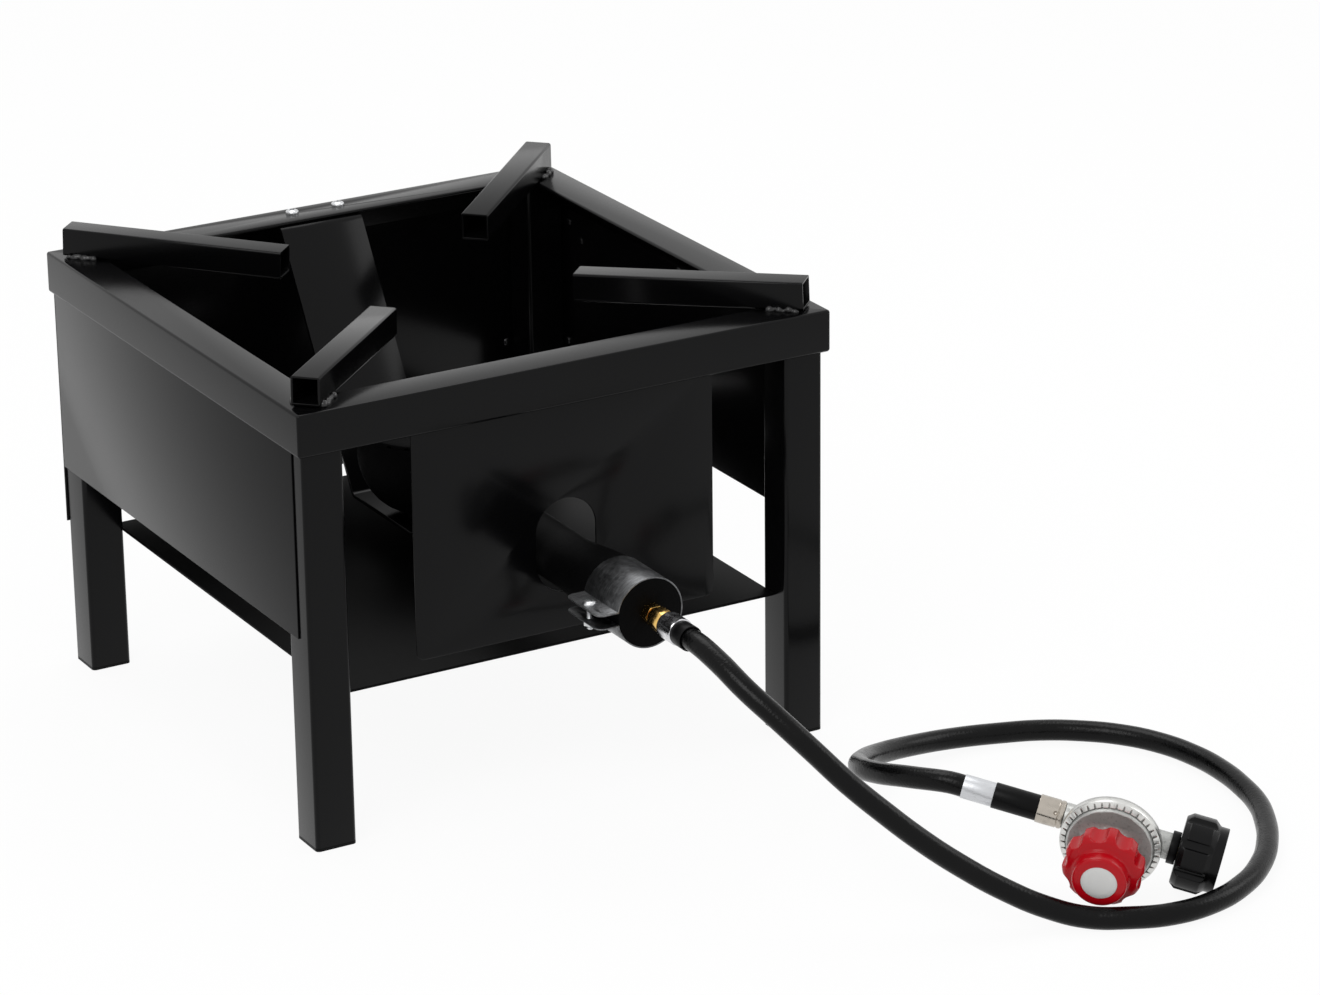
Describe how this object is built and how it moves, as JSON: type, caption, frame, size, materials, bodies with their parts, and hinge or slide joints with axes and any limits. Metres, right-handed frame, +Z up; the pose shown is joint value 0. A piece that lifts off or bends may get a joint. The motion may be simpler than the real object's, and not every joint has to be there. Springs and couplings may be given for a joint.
{
  "type": "outdoor gas burner",
  "caption": "Free-standing square steel stand with pot arms and wind guards, holding a gas burner fed by a hose with an adjustable regulator.",
  "frame": {"origin": "on the floor, at the middle of the box round the stand and its burner without the hose", "axes": "+Z up, +Y to the back of the stand, +X to the right, so that the burner tube and its fittings point along -Y"},
  "size_m": [0.5965, 0.7969, 0.3342],
  "materials": {
    "black_enamel": "glossy powder coat",
    "cast_black": "painted casting, satin",
    "zinc_steel": "bright zinc plating",
    "galvanised": "galvanised sheet with spangle",
    "brass": "turned, bright",
    "chrome_ferrule": "bright",
    "nickel_ferrule": "warm nickel, satin",
    "black_plastic": "matt",
    "hose_rubber": "satin rubber cover",
    "silver_band": "plain silver film",
    "cast_zinc": "die-cast zinc, satin",
    "crimp_steel": "plated steel",
    "soft_rubber": "matt",
    "red_plastic": "gloss",
    "white_plastic": "bare disc",
    "nut_plastic": "moulded, satin"
  },
  "bodies": {
    "stand": {"rim_front": "black_enamel", "rim_rear": "black_enamel", "rim_left": "black_enamel", "rim_right": "black_enamel", "leg_front_left": "black_enamel", "leg_front_right": "black_enamel", "leg_rear_left": "black_enamel", "leg_rear_right": "black_enamel", "foot_caps": "black_plastic", "pot_arm_front_left": "black_enamel", "pot_arm_front_right": "black_enamel", "pot_arm_rear_left": "black_enamel", "pot_arm_rear_right": "black_enamel", "wind_panel_left": "black_enamel", "wind_panel_right": "black_enamel", "wind_panel_rear": "black_enamel", "front_panel": "black_enamel", "shelf_plate": "black_enamel", "weld_beads": "black_enamel", "tack_welds": "black_enamel", "burner_strap": "black_enamel", "strap_screws": "zinc_steel", "strap_nuts": "zinc_steel", "burner_body": "cast_black", "burner_cap": "cast_black", "burner_bolt": "zinc_steel", "burner_washer": "zinc_steel", "burner_nut": "zinc_steel", "gas_orifice": "brass", "flare_nut": "brass", "hose_ferrule_burner": "chrome_ferrule", "hose_sleeve_burner": "black_plastic", "hose": "hose_rubber", "hose_label_band": "silver_band", "hose_sleeve_regulator": "black_plastic", "hose_ferrule_regulator": "nickel_ferrule", "regulator_body": "cast_zinc", "crimp_ring": "crimp_steel", "regulator_bonnet": "cast_zinc", "diaphragm": "soft_rubber", "diaphragm_plate": "zinc_steel", "adjusting_spring": "zinc_steel", "valve_stem": "brass", "inlet_nipple": "brass", "nipple_seal": "soft_rubber", "nut_collar": "black_plastic"},
    "shutter": {"air_shutter": "galvanised", "shutter_screw": "zinc_steel", "shutter_nut": "zinc_steel"},
    "button": {"spring_button": "brass"},
    "knob": {"adjusting_screw": "zinc_steel", "regulator_knob": "red_plastic", "knob_disc": "white_plastic"},
    "nut": {"tank_nut": "nut_plastic"}
  },
  "joints": [
    {"name": "shutter_turn", "type": "hinge", "parent": "stand", "child": "shutter", "pos_m": [-0.005, -0.2295, 0.172], "axis": [0, -1, 0], "range_deg": [-14, 21]},
    {"name": "screw_travel", "type": "slide", "parent": "stand", "child": "button", "axis": [0.6864, 0.7107, 0.1542], "range_m": [0, 0.00314]},
    {"name": "knob_turn", "type": "hinge", "parent": "button", "child": "knob", "pos_m": [0.19471, -0.48902, 0.03215], "axis": [0.6864, 0.7107, 0.1542], "range_deg": [0, 720]},
    {"name": "nut_spin", "type": "hinge", "parent": "stand", "child": "nut", "pos_m": [0.27044, -0.49462, 0.02565], "axis": [0.7246, -0.65, -0.2291], "continuous": true}
  ],
  "couplings": [
    {"joint": "knob_turn", "follows": "screw_travel", "rad_per_m": 4000}
  ]
}
